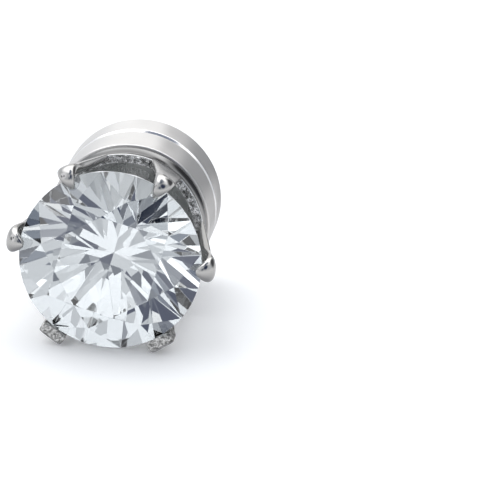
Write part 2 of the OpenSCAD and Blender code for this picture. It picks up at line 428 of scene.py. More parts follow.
def metal(name, colour, rough, rough_spread, ring_depth, ring_density, grain_depth=0.0, brushed=0.0):
    """Steel or plating: rough is the mean roughness, depths are in mm, brushed is 0 to 1."""
    material, tree, shader = new_material(name)
    where = upright_mm(tree)
    shader.inputs["Base Color"].default_value = (*colour, 1.0)
    shader.inputs["Metallic"].default_value = 1.0
    if brushed:
        shader.inputs["Anisotropic"].default_value = brushed
        tangent = add(tree, "ShaderNodeTangent", {"direction_type": "UV_MAP", "uv_map": "turning"})
        tree.links.new(tangent.outputs["Tangent"], shader.inputs["Tangent"])
    turned_rings = add(tree, "ShaderNodeGroup", {"node_tree": rings})
    turned_rings.inputs["Per mm"].default_value = ring_density
    handled = add(tree, "ShaderNodeGroup", {"node_tree": marks})
    tree.links.new(where, turned_rings.inputs["Vector"])
    tree.links.new(where, handled.inputs["Vector"])
    base = spread(tree, handled.outputs["Smears"], 0.0, 1.0, rough - rough_spread, rough + rough_spread)
    scratched = math(tree, "MULTIPLY", handled.outputs["Scratches"], rough_spread)
    tree.links.new(math(tree, "ADD", base, scratched, clamp=True), shader.inputs["Roughness"])
    height = math(tree, "MULTIPLY", turned_rings.outputs["Rings"], ring_depth)
    if grain_depth:
        grain = add(tree, "ShaderNodeTexNoise", Scale=GRAIN_PER_MM, Detail=5.0, Roughness=0.7)
        tree.links.new(where, grain.inputs["Vector"])
        height = math(tree, "ADD", height, math(tree, "MULTIPLY", grain.outputs[0], grain_depth))
        # The colour follows the grain's dents: painted shade in the pits, painted highlight on the crests.
        painted_pit_shade = add(tree, "ShaderNodeMix", {"data_type": "RGBA"})
        painted_pit_shade.inputs[MIX_FIRST].default_value = (*(PIT_PAINTED_SHADE * c for c in colour), 1.0)
        painted_pit_shade.inputs[MIX_SECOND].default_value = (*(min(1, CREST_PAINTED_HIGHLIGHT * c) for c in colour), 1.0)
        share = spread(tree, grain.outputs[0], PIT_BELOW, CREST_ABOVE, 0.0, 1.0)
        tree.links.new(share, painted_pit_shade.inputs[MIX_SHARE])
        tree.links.new(painted_pit_shade.outputs[MIX_RESULT], shader.inputs["Base Color"])
    bump = add(tree, "ShaderNodeBump", Strength=1.0, Distance=MM)
    tree.links.new(height, bump.inputs["Height"])
    tree.links.new(bump.outputs["Normal"], shader.inputs["Normal"])
    print(name, "roughness", rough, "nodes:", len(tree.nodes))
    return material


# %% [markdown]
# The claws are polished. The cups are pale satin steel, a touch warm, and the magnets a greyer plating.
# Edges that a keen tool cut last are smoother, and their colour is lightened as a painted highlight. The
# ring's waist, between the stone and the cup, is smooth, and its colour is darkened as painted shade for
# the shade that falls there. The ring's front rim is still as it was cast. Its inside was never polished,
# and its colour is darkened too, as painted shade in the recess. The two claws that were cut square are
# rough at the cut.

# %% Metals
# Name, colour, roughness, its spread, depth of the rings in mm, rings in a mm.
polished = metal("polished_steel", (0.535, 0.53, 0.52), 0.17, 0.04, 0.0006, 9.0)
satin = metal("satin_steel", (0.82, 0.81, 0.798), 0.33, 0.04, 0.0012, 22.0, brushed=0.6)
plated = metal("magnet_plating", (0.62, 0.62, 0.63), 0.26, 0.06, 0.0008, 12.0, brushed=0.6)
# The bright cut edge's colour is lighter than the steel round it: a painted highlight on a smoother finish.
bright_cut_painted_highlight = metal("bright_cut_edge", (0.88, 0.88, 0.88), 0.14, 0.03, 0.0006, 16.0)
# Painted shade: the waist's colour is darkened for the shade between the stone and the cup.
painted_shade_waist = metal("waist_steel_painted_shade", (0.26, 0.26, 0.26), 0.13, 0.03, 0.0008, 14.0)
cast = metal("rough_cast_steel", (0.86, 0.86, 0.85), 0.15, 0.05, 0.0, 9.0, grain_depth=0.08)
# Partly painted shade: the inside is unpolished and rough, and its colour is darkened for the recess.
inside = metal("unpolished_inside_painted_shade", (0.33, 0.33, 0.325), 0.28, 0.05, 0.004, 8.0)
cut = metal("cut_ends", (0.50, 0.50, 0.49), 0.20, 0.06, 0.0, 9.0, grain_depth=0.045)

# %% [markdown]
# The stone is cubic zirconia, cut as a round brilliant. All its sparkle is refraction and the mirror
# effect of its back facets, so the honest way is a closed solid of flat facets with zirconia's high
# refractive index, and nothing painted on. The base colour, a little short of white, is the faint tint
# that light picks up inside. Glass keeps plain numbers on the shader.

# %% Zirconia
ZIRCONIA_IOR = 2.16
zirconia, _, zirconia_shader = new_material("cut_zirconia")
zirconia_shader.inputs["Base Color"].default_value = (0.85, 0.89, 0.905, 1.0)
zirconia_shader.inputs["Roughness"].default_value = 0.0
zirconia_shader.inputs["IOR"].default_value = ZIRCONIA_IOR
zirconia_shader.inputs["Transmission Weight"].default_value = 1.0
print(zirconia.name, "bends light by an index of", ZIRCONIA_IOR)

# %% [markdown]
# The girdle, the stone's narrow edge, is ground and not polished, so it looks frosted: most of its light
# is scattered at the surface, a little passes in, and it shows as a thin pale line round the stone.

# %% Ground girdle
PASSES_IN = 0.15
ground_girdle, _, girdle_shader = new_material("ground_girdle")
girdle_shader.inputs["Base Color"].default_value = (0.93, 0.95, 0.96, 1.0)
girdle_shader.inputs["Roughness"].default_value = 0.4
girdle_shader.inputs["IOR"].default_value = ZIRCONIA_IOR
girdle_shader.inputs["Transmission Weight"].default_value = PASSES_IN
print(ground_girdle.name, "lets in", PASSES_IN, "of the light")

# %% [markdown]
# The stone's facets follow from a few proportions. Rings of points give the table's corners, the star
# tips, the girdle's two edges, the lower halves' tips and the culet, and each facet names its corners.
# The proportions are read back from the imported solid, so that this stone fills exactly its place. Only
# the turn of its table about the axis is given here.

# %% Stone proportions, read from the solid
TABLE_TURN = 8.7
FACETS = 8
GIRDLE_STEPS = 64
CLEAR = 0.05
TABLE_BAND = 0.002
heights = stone_points[:, 2]
TABLE_TOP = high("stone")
CULET = low("stone")
TABLE_R = round(reach(stone_points[heights > TABLE_TOP - TABLE_BAND]).max(), 3)
crown = stone_points[(heights > GIRDLE_TOP + CLEAR) & (heights < TABLE_TOP - CLEAR)]
STAR_R, STAR_TOP = round(reach(crown).mean(), 3), round(crown[:, 2].mean(), 3)
pavilion = stone_points[(heights < GIRDLE_LOW - CLEAR) & (heights > CULET + CLEAR)]
HALF_R, HALF_LOW = round(reach(pavilion).mean(), 3), round(pavilion[:, 2].mean(), 3)
print("table", TABLE_R, TABLE_TOP, "stars", STAR_R, STAR_TOP, "halves", HALF_R, HALF_LOW, "culet", CULET)

# %% [markdown]
# The girdle is cut where the facets meet a round outline, so its two edges rise and fall in scallops. A
# flat facet and a cylinder meet in such a wave: the edge's height follows the plane of the facet.


# %% Rings of points and the girdle's scallops
def ring_points(radius, height, turn, count):
    """Points spaced evenly round the axis. The height may be one number or one for each point."""
    angle = np.radians(turn + np.arange(count) * 360 / count)
    return np.stack([radius * np.cos(angle), radius * np.sin(angle), np.broadcast_to(height, count)], 1)


def scallops(inner_r, inner_z, edge_z):
    """Heights of a girdle edge, on the planes through two main points and the inner point between them.

    A plane's height is edge_z at the chord between its main points. It changes by the slope with the
    distance along the facet's middle line, which is R cos a for a girdle point at an angle a off it."""
    half = np.pi / FACETS
    step = GIRDLE_STEPS // (2 * FACETS)
    off = half * ((np.arange(GIRDLE_STEPS) % step) / step - 0.5)
    chord = STONE_R * np.cos(half / 2)
    slope = (inner_z - edge_z) / (chord - inner_r * np.cos(half / 2))
    return edge_z - (STONE_R * np.cos(off) - chord) * slope


top_edge = scallops(STAR_R, STAR_TOP, GIRDLE_TOP)
low_edge = scallops(HALF_R, HALF_LOW, GIRDLE_LOW)
top_edge += GIRDLE_TOP - top_edge.max()
low_edge += GIRDLE_LOW - low_edge.min()
print("scallops, mm:", round(np.ptp(top_edge), 3), "on top and", round(np.ptp(low_edge), 3), "below")

# %% [markdown]
# A round brilliant has one flat table, and then at each of eight places round it a star, a main and two
# halves above the girdle, and a main and two halves below. A cut solid could be made by slicing a block
# with 57 planes, but naming the corners is exact and leaves each facet one clean polygon. The loop goes
# round the eight places, not over points. A facet's corners are listed so that it faces outwards, because
# glass needs to know its inside from its outside.


# %% Facets of the brilliant
def brilliant():
    """Points and facets of the round brilliant, as in the solid. The girdle's facets come last."""
    half = 180 / FACETS
    points = np.concatenate([
        ring_points(TABLE_R, TABLE_TOP, TABLE_TURN, FACETS),
        ring_points(STAR_R, STAR_TOP, TABLE_TURN + half, FACETS),
        ring_points(STONE_R, top_edge, TABLE_TURN, GIRDLE_STEPS),
        ring_points(STONE_R, low_edge, TABLE_TURN, GIRDLE_STEPS),
        ring_points(HALF_R, HALF_LOW, TABLE_TURN + half, FACETS),
        [[0, 0, CULET]],
    ])
    star, upper, lower = FACETS, 2 * FACETS, 2 * FACETS + GIRDLE_STEPS
    tip, culet = 2 * FACETS + 2 * GIRDLE_STEPS, len(points) - 1
    per_main, per_half = GIRDLE_STEPS // FACETS, GIRDLE_STEPS // (2 * FACETS)
    facets = [list(range(FACETS))]
    for k in range(FACETS):
        after, before = (k + 1) % FACETS, (k - 1) % FACETS
        facets.append([k, star + k, after])
        facets.append([k, star + before, upper + per_main * k, star + k])
        facets.append([culet, tip + k, lower + per_main * k, tip + before])
        for side in range(2):
            start = per_main * k + per_half * side
            edge = (start + np.arange(per_half + 1)) % GIRDLE_STEPS
            facets.append([star + k, *(upper + edge)])
            facets.append([tip + k, *(lower + edge[::-1])])
    j = np.arange(GIRDLE_STEPS)
    j2 = (j + 1) % GIRDLE_STEPS
    facets += np.stack([lower + j, lower + j2, upper + j2, upper + j], 1).tolist()
    return points, facets


brilliant_points, brilliant_facets = brilliant()
print("cut facets:", len(brilliant_facets) - GIRDLE_STEPS, "and on the girdle:", GIRDLE_STEPS)

# %% [markdown]
# Even a hard stone's edges are polished a hair's breadth round. A narrow Bevel modifier on the edges
# between facets gives each one its thin glint. The girdle's own short facets meet at smaller angles, so
# the angle limit leaves them alone.

# %% Stone
EDGE_WEAR = 0.012
WORN_FROM = 7
stone = raw_piece("brilliant_stone", brilliant_points, brilliant_facets, smooth=False)
stone.data.materials.append(zirconia)
stone.data.materials.append(ground_girdle)
on_girdle = np.arange(len(stone.data.polygons)) >= len(stone.data.polygons) - GIRDLE_STEPS
stone.data.polygons.foreach_set("material_index", on_girdle.astype(int))
polish = stone.modifiers.new("worn_facet_edges", "BEVEL")
polish.width = EDGE_WEAR * MM
polish.segments = 1
polish.limit_method = "ANGLE"
polish.angle_limit = np.radians(WORN_FROM)
print("stone facets:", len(stone.data.polygons), "with edges worn by", EDGE_WEAR, "mm")

# %% [markdown]
# The gallery ring carries the claws: a short cast cup with a hollow waist, open to the stone. It stands
# on the front cup. It is round, so it is turned like the cups, which also gives its rim the fine rows of
# points that the next step needs. Its heights start from the solid's lowest point, and the hollow waist
# is a shallow parabola between the two lips.

# %% Gallery sizes
GALLERY_LOW = low("claw_setting")
GALLERY_HEIGHT = 1.15
GALLERY_TOP = GALLERY_LOW + GALLERY_HEIGHT
GALLERY_R = 3.5
WALL = 0.42
GALLERY_FLOOR = 0.45
FLOOR_Z = GALLERY_LOW + GALLERY_FLOOR
WAIST = 0.1
LIP = 0.05
LIP_BAND = 1.6 * LIP
INNER_LIP = 0.03
FLOOR_ROUND = 0.15
RIM_OUT = GALLERY_R - LIP
RIM_IN = GALLERY_R - WALL + INNER_LIP


def waist_arc(steps=17):
    """The hollow outside of the ring: the radius less the waist times (1 - t^2), for t from -1 to 1."""
    t = np.linspace(-1, 1, steps)
    middle, half = (GALLERY_LOW + GALLERY_TOP) / 2, (GALLERY_TOP - GALLERY_LOW) / 2 - LIP_BAND
    return np.stack([GALLERY_R - WAIST * (1 - t**2), middle + t * half], 1)


print("gallery from", GALLERY_LOW, "to", round(GALLERY_TOP, 3), "rim from", RIM_IN, "to", RIM_OUT)

# %% [markdown]
# The ring's front rim, between the claws, was never polished: it stays as it left the mould, crossed by a
# file's marks. It could be a bump in the material, but it faces the viewer and its crests catch the
# light, so it is real here: the rim's rows of points are lifted by a height field. The field is two sums
# of sine waves, one for the cast grain and one for the file's strokes along the radius.

# %% Grain and file marks
RIM_RELIEF = 0.07
FILE_STROKES = (90, 260)
GRAIN_SEED, FILE_SEED = 5, 8
GRAIN_SHARE, FILE_SHARE = 0.7, 0.5
DEEPEST, HIGHEST = -1.6, 1.2


def grain(points, seed, waves=60, finest=0.13):
    """Smooth random relief about -1 to 1: a sum of plane waves of random heading, from seeded numbers."""
    random = np.random.default_rng(seed)
    heading = random.uniform(0, 2 * np.pi, waves)
    length = finest * random.uniform(1, 3, waves)
    phase = random.uniform(0, 2 * np.pi, waves)
    across = points[:, :1] * np.cos(heading) + points[:, 1:2] * np.sin(heading)
    return np.sin(across * 2 * np.pi / length + phase).sum(1) / np.sqrt(waves)


def file_marks(points, seed, waves=40):
    """Ridges along the radius: a sum of sines of the angle, with random counts round the ring."""
    random = np.random.default_rng(seed)
    count = random.integers(*FILE_STROKES, waves)
    phase = random.uniform(0, 2 * np.pi, waves)
    angle = np.arctan2(points[:, 1], points[:, 0])
    return np.sin(angle[:, None] * count + phase).sum(1) / np.sqrt(waves)


def rim_relief(points):
    """How far the rim's points rise: both reliefs added, clipped, and faded out at the rim's two edges."""
    share = np.clip((RIM_OUT - reach(points)) / (RIM_OUT - RIM_IN), 0, 1)
    relief = GRAIN_SHARE * grain(points, GRAIN_SEED) + FILE_SHARE * file_marks(points, FILE_SEED)
    return RIM_RELIEF * np.sin(np.pi * share) ** 0.5 * np.clip(relief, DEEPEST, HIGHEST)


middle_of_rim = np.array([[(RIM_OUT + RIM_IN) / 2, 0, GALLERY_TOP]])
print("the rim's middle rises by", rim_relief(middle_of_rim)[0].round(3), "mm at angle 0")

# %% [markdown]
# The head has six finishes, and a facet names its own by a place in their list. On the ring, the lip
# towards the stone is bright cut, with a painted highlight, the waist under it is smooth, with painted
# shade, the front rim is as cast, and the well inside is unpolished, with painted shade.

# %% Gallery ring
HEAD_FINISHES = [polished, cast, inside, cut, painted_shade_waist, bright_cut_painted_highlight]
POLISHED, CAST, INSIDE_PAINTED_SHADE, CUT, WAIST_PAINTED_SHADE, BRIGHT_PAINTED_HIGHLIGHT = range(len(HEAD_FINISHES))


def gallery_ring(turns=384, rim_rows=18):
    """The ring's points and facets, and each facet's finish."""
    waist = waist_arc()
    outside = np.concatenate([
        rounded([(0, GALLERY_LOW, 0), (GALLERY_R, GALLERY_LOW, LIP), (*waist[0], 0)]),
        waist[1:],
        rounded([(*waist[-1], 0), (GALLERY_R, GALLERY_TOP, LIP), (RIM_OUT, GALLERY_TOP, 0)])[1:],
    ])
    rim_r = np.linspace(RIM_OUT, RIM_IN, rim_rows)[1:]
    rim = np.stack([rim_r, np.full(rim_rows - 1, GALLERY_TOP)], 1)
    well = rounded([
        (RIM_IN, GALLERY_TOP, 0),
        (GALLERY_R - WALL, GALLERY_TOP, INNER_LIP),
        (GALLERY_R - WALL, FLOOR_Z, FLOOR_ROUND),
        (0, FLOOR_Z, 0),
    ])[1:]
    points, facets = turned(np.concatenate([outside, rim, well]), turns)
    between = (reach(points) < RIM_OUT - EDGE_BAND) & (reach(points) > RIM_IN + EDGE_BAND)
    on_rim = between & (points[:, 2] > GALLERY_TOP - HAIR)
    lift = np.where(on_rim, rim_relief(points), 0)
    points[:, 2] += lift
    print("rim relief from", lift.min().round(3), "to", lift.max().round(3), "mm")
    middles = (outside[1:-1, 1] + outside[2:, 1]) / 2
    # The waist's rows take the painted shade, and the lip's band takes the painted highlight.
    sides = np.where(middles < GALLERY_TOP - LIP_BAND, WAIST_PAINTED_SHADE, BRIGHT_PAINTED_HIGHLIGHT)
    rows = np.concatenate([sides, np.full(rim_rows - 1, CAST), np.full(len(well) - 1, INSIDE_PAINTED_SHADE)])
    caps = [np.full(turns, POLISHED), np.full(turns, INSIDE_PAINTED_SHADE)]
    return points, facets, np.concatenate([np.repeat(rows, turns), *caps])


gallery_points, gallery_facets, gallery_finish = gallery_ring()
print("gallery facets:", len(gallery_facets), "by finish:", np.bincount(gallery_finish))

# %% [markdown]
# Each claw is a petal of the ring's own sheet, drawn up to the girdle and pressed over the stone's edge.
# A curve with a bevel profile could run up it, but its section has to change on the way, from a flat
# strip to a domed bead. So it is a surface of two parameters: one runs up the claw, the other round its
# section. It starts with two lines in the plane of the axis, an outer and an inner one, whose gap is the
# claw's thickness. The upper claws' outer line goes up the leg and then round a bead. The two lower claws
# were cut square, so theirs steps out over a heel and ends in a blunt bar along the girdle.
#
# Both lines start a little inside the ring, so that no step shows where a claw leaves its lip, and the
# inner line keeps a hair's breadth clear of the stone.

# %% Claw sizes
BEAD_R = 0.57
BEAD_AT = 4.03
BEAD_Z = GIRDLE_TOP - 0.05
BEAD_FROM, BEAD_LAP, SIDE_LAP = -40, 143, 113
FOOT_OUT = 4.5
FOOT_HEEL = BEAD_Z - 0.45
FOOT_FRONT = BEAD_Z + 0.34
FOOT_LAP = 0.05
HEEL_IN, HEEL_RISE = 0.04, 0.12
CORNER_OUT, CORNER_UP = 0.12, 0.14
CLAW_T = 0.36
SEAT = 0.03
UNDER_GIRDLE = 0.2
ROOT_OUT = 0.02
ROOT_Z = GALLERY_TOP - 0.25
ROOT_SUNK = 0.14
CROWN_SLOPE = (STAR_TOP - GIRDLE_TOP) / (STONE_R - STAR_R * np.cos(np.pi / FACETS))
print("beads at", BEAD_AT, round(BEAD_Z, 3), "crown rises", round(CROWN_SLOPE, 3), "mm in a mm")

# %% [markdown]
# A line is drawn through a few points and then softened. `smooth_line` steps along it evenly, averages
# each point with its neighbours, and mirrors the line through both of its ends first, so that the ends
# stay in place.

# %% Claw lines
FINE_STEPS = 600
BEAD_STEPS = 60
CLAW_ROWS = 96


def smooth_line(points, count, width):
    """A polyline resampled evenly by its length and rounded by a moving average about width mm wide."""
    steps = np.linalg.norm(np.diff(points, axis=0), axis=1)
    along = np.concatenate([[0], np.cumsum(steps)])
    fine = np.linspace(0, along[-1], FINE_STEPS)
    line = np.stack([np.interp(fine, along, points[:, k]) for k in range(2)], 1)
    half = max(1, int(width / along[-1] * (FINE_STEPS / 2)))
    padded = np.concatenate([2 * line[0] - line[half:0:-1], line, 2 * line[-1] - line[-2:-2 - half:-1]])
    kernel = np.hanning(2 * half + 3)[1:-1]
    kernel /= kernel.sum()
    line = np.stack([np.convolve(padded[:, k], kernel, "valid") for k in range(2)], 1)
    return line[np.linspace(0, len(line) - 1, count).astype(int)]


def bead_lines(rows, lap=BEAD_LAP):
    """Outer and inner line of an upper claw: up the leg, then round the bead, by an angle, to its tip."""
    swing = np.radians(np.linspace(BEAD_FROM, lap, BEAD_STEPS))
    bead = np.stack([BEAD_AT + BEAD_R * np.cos(swing), BEAD_Z + BEAD_R * np.sin(swing)], 1)
    root = [[GALLERY_R - ROOT_SUNK, ROOT_Z], [GALLERY_R + ROOT_OUT, GALLERY_TOP]]
    tip_r = bead[-1, 0]
    inner = np.array([
        [GALLERY_R - ROOT_OUT - CLAW_T, ROOT_Z],
        [STONE_R + SEAT, GIRDLE_LOW - UNDER_GIRDLE],
        [STONE_R + SEAT, GIRDLE_TOP + SEAT],
        [tip_r, GIRDLE_TOP + (STONE_R - tip_r) * CROWN_SLOPE + SEAT],
    ])
    return smooth_line(np.concatenate([root, bead]), rows, 0.2), smooth_line(inner, rows, 0.1)


def side_lines(rows):
    """The same for a side claw, which is pressed over less far."""
    return bead_lines(rows, SIDE_LAP)


def foot_lines(rows):
    """Outer and inner line of a lower claw: up the leg, out over the heel and over the square end."""
    outer = np.array([
        [GALLERY_R - ROOT_SUNK, ROOT_Z],
        [GALLERY_R + ROOT_OUT, GALLERY_TOP],
        [STONE_R + SEAT + CLAW_T - HEEL_IN, FOOT_HEEL - HEEL_RISE],
        [FOOT_OUT, FOOT_HEEL],
        [FOOT_OUT, FOOT_FRONT - CORNER_UP],
        [FOOT_OUT - CORNER_OUT, FOOT_FRONT],
        [STONE_R - FOOT_LAP, FOOT_FRONT],
    ])
    inner = np.array([
        [GALLERY_R - ROOT_OUT - CLAW_T, ROOT_Z],
        [STONE_R + SEAT, GIRDLE_LOW - UNDER_GIRDLE],
        [STONE_R + SEAT, GIRDLE_TOP + SEAT],
        [STONE_R - FOOT_LAP, GIRDLE_TOP + FOOT_LAP * CROWN_SLOPE + SEAT],
    ])
    return smooth_line(outer, rows, 0.09), smooth_line(inner, rows, 0.06)


for lines in (bead_lines, side_lines, foot_lines):
    outer_line = lines(CLAW_ROWS)[0]
    length = np.linalg.norm(np.diff(outer_line, axis=0), axis=1).sum()
    print(lines.__name__, "outer line:", round(length, 2), "mm, out to", round(outer_line[:, 0].max(), 3))

# %% [markdown]
# The two lines become a body by a superellipse round their middle: a high exponent gives a flat strip
# with soft corners, as on the legs, and an exponent of 2 a true ellipse, as on a bead. Widths and
# exponents are given at a few shares of the way up, and the width is blurred along the claw so that no
# kink shows. Past a share named closing, the width shrinks as a circle's does, which rounds the tip. The
# two ends are closed with one flat facet each.

# %% Claw surface
WIDTH_BLUR = 13
TIP_CLOSED = 0.93


def claw_surface(angle, lines, widths, power, closing, rows=CLAW_ROWS, columns=44):
    """Points and facets of a claw at an angle round the axis.

    At an angle v round the section, the place across the claw is cos v to the power 2 / exponent, times
    half the width. The place between the lines is the same with sin v and half the thickness."""
    out_line, in_line = lines(rows)
    steps = np.linalg.norm(np.diff(out_line, axis=0), axis=1)
    share = np.concatenate([[0], np.cumsum(steps)]) / steps.sum()
    half_w = np.interp(share, list(widths), list(widths.values())) / 2
    window = np.hanning(WIDTH_BLUR + 2)[1:-1]
    half_w = np.convolve(np.pad(half_w, WIDTH_BLUR // 2, mode="edge"), window / window.sum(), "valid")
    past = np.clip((share - closing) / (1 - closing), 0, 1)
    half_w = half_w * np.sqrt(1 - TIP_CLOSED * past**2)
    exponent = np.interp(share, list(power), list(power.values()))[:, None]
    v = np.arange(columns) * 2 * np.pi / columns
    across = np.sign(np.cos(v)) * np.abs(np.cos(v)) ** (2 / exponent) * half_w[:, None]
    through = np.sign(np.sin(v)) * np.abs(np.sin(v)) ** (2 / exponent)
    middle, half_t = (out_line + in_line) / 2, (out_line - in_line) / 2
    r = middle[:, :1] + half_t[:, :1] * through
    z = middle[:, 1:] + half_t[:, 1:] * through
    toward = np.radians(angle)
    x = r * np.cos(toward) - across * np.sin(toward)
    y = r * np.sin(toward) + across * np.cos(toward)
    points = np.stack([x, y, z], -1).reshape(-1, 3)
    facets = grid_facets(rows, columns)[:, ::-1].tolist()
    facets.append(list(range(columns)))
    facets.append(list(range(rows * columns - 1, (rows - 1) * columns - 1, -1)))
    return points, facets


# %% [markdown]
# Three kinds of claw stand round the stone. The two on top have long beads. The two at the sides show
# their ends to the viewer, broad and less far over the stone. The two below, which the earring lies on,
# are the ones that were cut square.

# %% Claws
# Widths in mm and section exponents, each at a share of the way up the claw's outer line.
upper_claw = {
    "lines": bead_lines,
    "widths": {0.0: 1.7, 0.05: 1.52, 0.6: 1.02, 0.74: 0.99, 0.87: 0.8, 1.0: 0.42},
    "power": {0.0: 5.0, 0.6: 4.0, 0.76: 2.5, 1.0: 2.2},
    "closing": 0.82,
}
side_claw = {
    "lines": side_lines,
    "widths": {0.0: 1.7, 0.05: 1.5, 0.6: 0.92, 0.72: 1.16, 0.88: 1.2, 1.0: 1.05},
    "power": {0.0: 5.0, 0.58: 4.0, 0.72: 2.3, 1.0: 2.1},
    "closing": 0.8,
}
foot_claw = {
    "lines": foot_lines,
    "widths": {0.0: 1.7, 0.05: 1.5, 0.62: 1.06, 0.72: 1.16, 1.0: 1.16},
    "power": {0.0: 5.0, 0.6: 5.0, 0.75: 7.0, 1.0: 7.0},
    "closing": 0.96,
}


def points_down(angle):
    """Whether a claw at this angle is one of the two that the earring lies on."""
    return 180 < angle < 350


def claw_kind(angle):
    """The claw that stands at an angle: below, at a side, or on top."""
    if points_down(angle):
        return foot_claw
    return side_claw if np.cos(np.radians(angle)) ** 2 > 0.5 else upper_claw


claw_parts = [claw_surface(angle, **claw_kind(angle)) for angle in CLAW_ANGLES]
print("claw facets:", [len(facets) for _, facets in claw_parts])

# %% [markdown]
# On the real head the ring and the claws are one casting, with no wall left inside where they meet. Here
# each is a closed skin of its own that runs a little way into the ring, and a Boolean union for each claw
# fuses them into one closed skin. The materials go along by their places in the list, and edges sharper
# than a set angle stay crisp, so that the seam where a claw leaves the ring keeps its shading.
#
# A union leaves crumbs along its joints: corners closer together than any tool could part them, and
# corners in the middle of a straight edge. Both are taken out, so that the facets on the two sides of a
# joint share the same edges and no sliver lies double.

# %% Fusing closed skins
CRISP_ANGLE = np.radians(35)
JOINT_MERGE = 0.0003 * MM


def skin(name, points, facets, finish):
    """A closed skin with the head's materials, and each facet's finish by its place in their list."""
    piece = raw_piece(name, points, facets)
    for material in HEAD_FINISHES:
        piece.data.materials.append(material)
    piece.data.polygons.foreach_set("material_index", finish)
    return piece


def clean_joints(mesh):
    """Merges corners that all but touch, and takes out corners that only two edges meet in."""
    joints = bmesh.new()
    joints.from_mesh(mesh)
    bmesh.ops.remove_doubles(joints, verts=joints.verts, dist=JOINT_MERGE)
    spare = [corner for corner in joints.verts if len(corner.link_edges) == 2]
    bmesh.ops.dissolve_verts(joints, verts=spare)
    joints.to_mesh(mesh)
    joints.free()
    print("spare corners taken out of the joints:", len(spare))


def fuse(piece, helpers):
    """Boolean unions of a piece with its helpers, applied to its mesh. The helpers are deleted."""
    for helper in helpers:
        union = piece.modifiers.new("fuse_" + helper.name, "BOOLEAN")
        union.operation = "UNION"
        union.solver = "MANIFOLD"
        union.object = helper
    fused = bpy.data.meshes.new_from_object(piece.evaluated_get(bpy.context.evaluated_depsgraph_get()))
    piece.modifiers.clear()
    piece.data = fused
    for helper in helpers:
        bpy.data.objects.remove(helper)
    clean_joints(fused)
    fused.set_sharp_from_angle(angle=CRISP_ANGLE)


# %% [markdown]
# The upper claws are polished all over. On the lower ones the facets past a share of the way up are the
# rough cut ends.

# %% One casting
CUT_FROM = 0.74
head = skin("claw_head", gallery_points, gallery_facets, gallery_finish)
claws = []
for angle, (points, facets) in zip(CLAW_ANGLES, claw_parts):
    way_up = np.arange(len(facets)) / len(facets)
    finish = np.where(points_down(angle) & (way_up > CUT_FROM), CUT, POLISHED)
    claws.append(skin("claw", points, facets, finish))
fuse(head, claws)
print("head facets:", len(head.data.polygons))

# %% [markdown]
# The magnets sit in two turned steel cups, mouth to mouth. Where the cups meet, a bevel on each leaves a
# fine groove. The front cup's face towards the setting has a crisp edge, and the earring's back is well
# rounded so that it lies soft behind the ear. One section serves both cups. The front one is turned over,
# so that its mouth faces back.

# %% Cups
CUP_WALL = 0.45
CUP_FLOOR = 0.45
MOUTH_BEVEL = 0.16
BEVEL_ROUND, MOUTH_ROUND, WELL_ROUND = 0.07, 0.03, 0.05
SOFT_BACK, CRISP_FRONT = 0.3, 0.07


def cup_section(height, closed_round):
    """A cup on its closed end, with its mouth up: a half section from the axis to the axis."""
    return rounded([
        (0, 0, 0),
        (CUP_R, 0, closed_round),
        (CUP_R, height - MOUTH_BEVEL, BEVEL_ROUND),
        (CUP_R - MOUTH_BEVEL, height, MOUTH_ROUND),
        (CUP_R - CUP_WALL, height, MOUTH_ROUND),
        (CUP_R - CUP_WALL, CUP_FLOOR, WELL_ROUND),
        (0, CUP_FLOOR, 0),
    ], steps=8)


back_cup = turned_piece("back_cup_shell", cup_section(high("back_cup"), SOFT_BACK))
front_section = cup_section(high("front_cup") - low("front_cup"), CRISP_FRONT)
front_cup = turned_piece("front_cup_shell", front_section, turned_over=high("front_cup"))

# %% [markdown]
# The magnets are plain discs, pressed and plated, and turned here like the cups. Their edges are softened,
# because a magnet's plating would chip off a sharp one. They show only when the back is off.

# %% Magnets
MAGNET_ROUND = 0.1


def magnet_section(node):
    """A disc with softened edges, as high and wide as its solid."""
    bottom, top = low(node), high(node)
    return rounded([
        (0, bottom, 0),
        (MAGNET_R, bottom, MAGNET_ROUND),
        (MAGNET_R, top, MAGNET_ROUND),
        (0, top, 0),
    ])


front_magnet = turned_piece("front_magnet_disc", magnet_section("front_magnet"))
back_magnet = turned_piece("back_magnet_disc", magnet_section("back_magnet"))
for piece, finish in ((front_cup, satin), (back_cup, satin), (front_magnet, plated), (back_magnet, plated)):
    piece.data.materials.append(finish)

# %% [markdown]
# The bevels at the cups' mouths are the last cut on the lathe, made with a keen tool and left smooth
# and bright, and their colour is lightened further as a painted highlight. So each cup has a second
# finish, and the facets in a narrow band by the mouth take it. The two bright lines with the dark groove
# between them are what shows that the earring comes apart there.

# %% Bright cut at the mouths, with a painted highlight
BAND_SPARE = 0.06


def facet_centres(piece):
    """The distance from the axis and the height of each facet's middle, in mm."""
    flat = np.zeros(len(piece.data.polygons) * 3)
    piece.data.polygons.foreach_get("center", flat)
    centres = (flat.reshape(-1, 3) / MM - BACK_CENTRE) @ UPRIGHT.T
    return reach(centres), centres[:, 2]


# The facets in the bevel band take the bright cut's lighter colour, a painted highlight.
for cup, mouth in ((back_cup, high("back_cup")), (front_cup, low("front_cup"))):
    cup.data.materials.append(bright_cut_painted_highlight)
    far_out, height = facet_centres(cup)
    bevelled = (far_out > CUP_R - MOUTH_BEVEL) & (np.abs(height - mouth) < MOUTH_BEVEL + BAND_SPARE)
    cup.data.polygons.foreach_set("material_index", bevelled.astype(int))
    print(cup.name, "facets with the bright cut:", bevelled.sum())

# %% [markdown]
# Each new piece rides on its body and stands for its CAD solid, which is hidden. Each row also holds the record's
# slot of finish, which the loop leaves unused.
# The head, the front cup and its magnet make the front half, which stays. The back half comes off.

